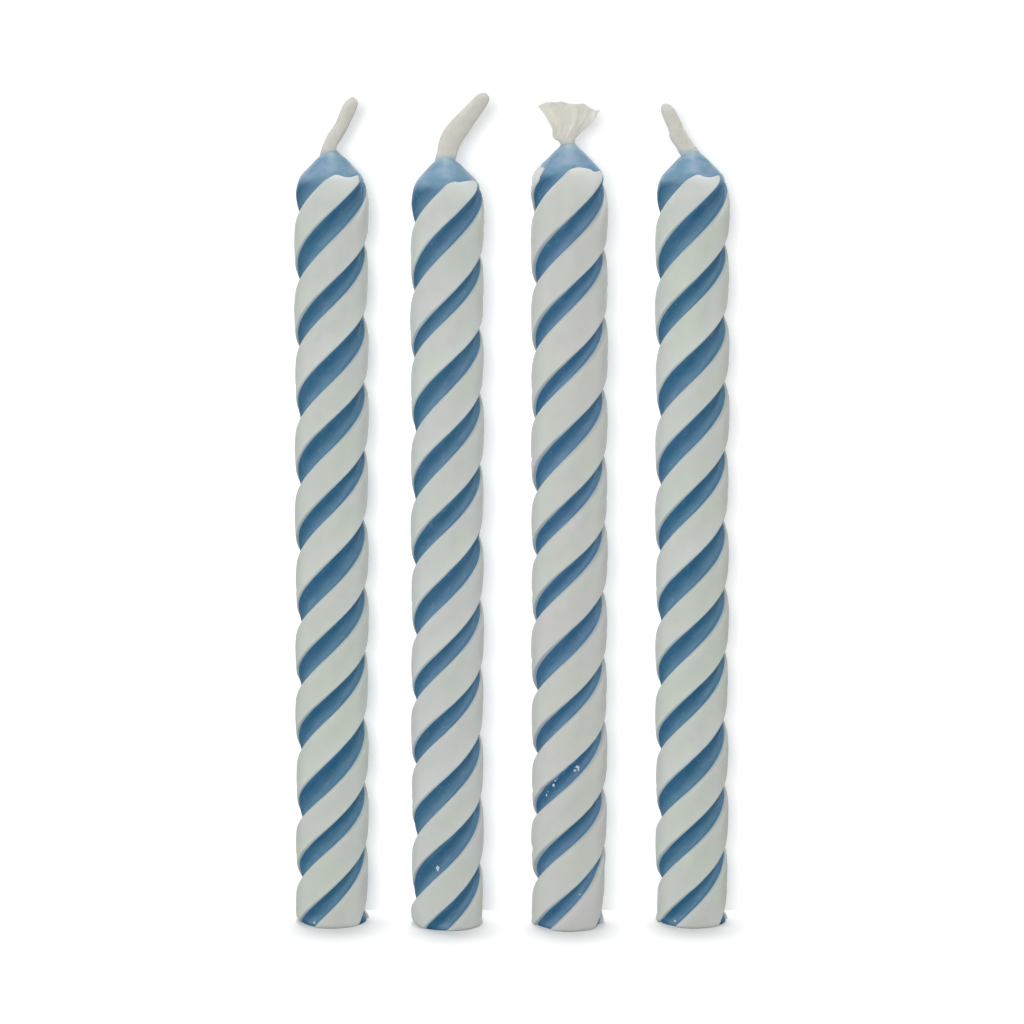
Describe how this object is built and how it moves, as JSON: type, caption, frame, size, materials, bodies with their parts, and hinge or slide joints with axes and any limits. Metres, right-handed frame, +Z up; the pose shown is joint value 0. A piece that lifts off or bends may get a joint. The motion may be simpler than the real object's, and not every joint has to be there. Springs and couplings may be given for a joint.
{
  "type": "birthday candle set",
  "caption": "Slim upright spiral birthday candles in a row: twisted blue wax cores, raised white wax bands, pared blue tips and short cotton wicks, one frayed; each lifts off.",
  "frame": {"origin": "on the surface the candles stand on, midway along the row and midway through it", "axes": "+Z up along the candles towards the wicks, +X along the row to the right as the picture shows it, +Y from the viewer to the back"},
  "size_m": [0.0338, 0.0066, 0.0648],
  "materials": {
    "blue_wax": "blue candle wax, matte to satin, paler bloom on the lower side of each groove and on the tip",
    "white_wax": "greyish white candle wax, matte, slightly translucent, faintly mottled",
    "wick_cotton": "cream cotton wick stiffened with wax, matte, fine strands"
  },
  "bodies": {
    "candle_1": {"candle_1_blue_core": "blue_wax", "candle_1_white_band_1": "white_wax", "candle_1_white_band_2": "white_wax", "candle_1_white_band_3": "white_wax", "candle_1_wick": "wick_cotton"},
    "candle_2": {"candle_2_blue_core": "blue_wax", "candle_2_white_band_1": "white_wax", "candle_2_white_band_2": "white_wax", "candle_2_white_band_3": "white_wax", "candle_2_wick": "wick_cotton"},
    "candle_3": {"candle_3_blue_core": "blue_wax", "candle_3_white_band_1": "white_wax", "candle_3_white_band_2": "white_wax", "candle_3_white_band_3": "white_wax", "candle_3_wick": "wick_cotton"},
    "candle_4": {"candle_4_blue_core": "blue_wax", "candle_4_white_band_1": "white_wax", "candle_4_white_band_2": "white_wax", "candle_4_white_band_3": "white_wax", "candle_4_wick": "wick_cotton"}
  },
  "joints": [
    {"name": "candle_2_lift", "type": "slide", "parent": "candle_1", "child": "candle_2", "axis": [0, 0, 1], "range_m": [0, 0.07]},
    {"name": "candle_3_lift", "type": "slide", "parent": "candle_1", "child": "candle_3", "axis": [0, 0, 1], "range_m": [0, 0.07]},
    {"name": "candle_4_lift", "type": "slide", "parent": "candle_1", "child": "candle_4", "axis": [0, 0, 1], "range_m": [0, 0.07]}
  ]
}
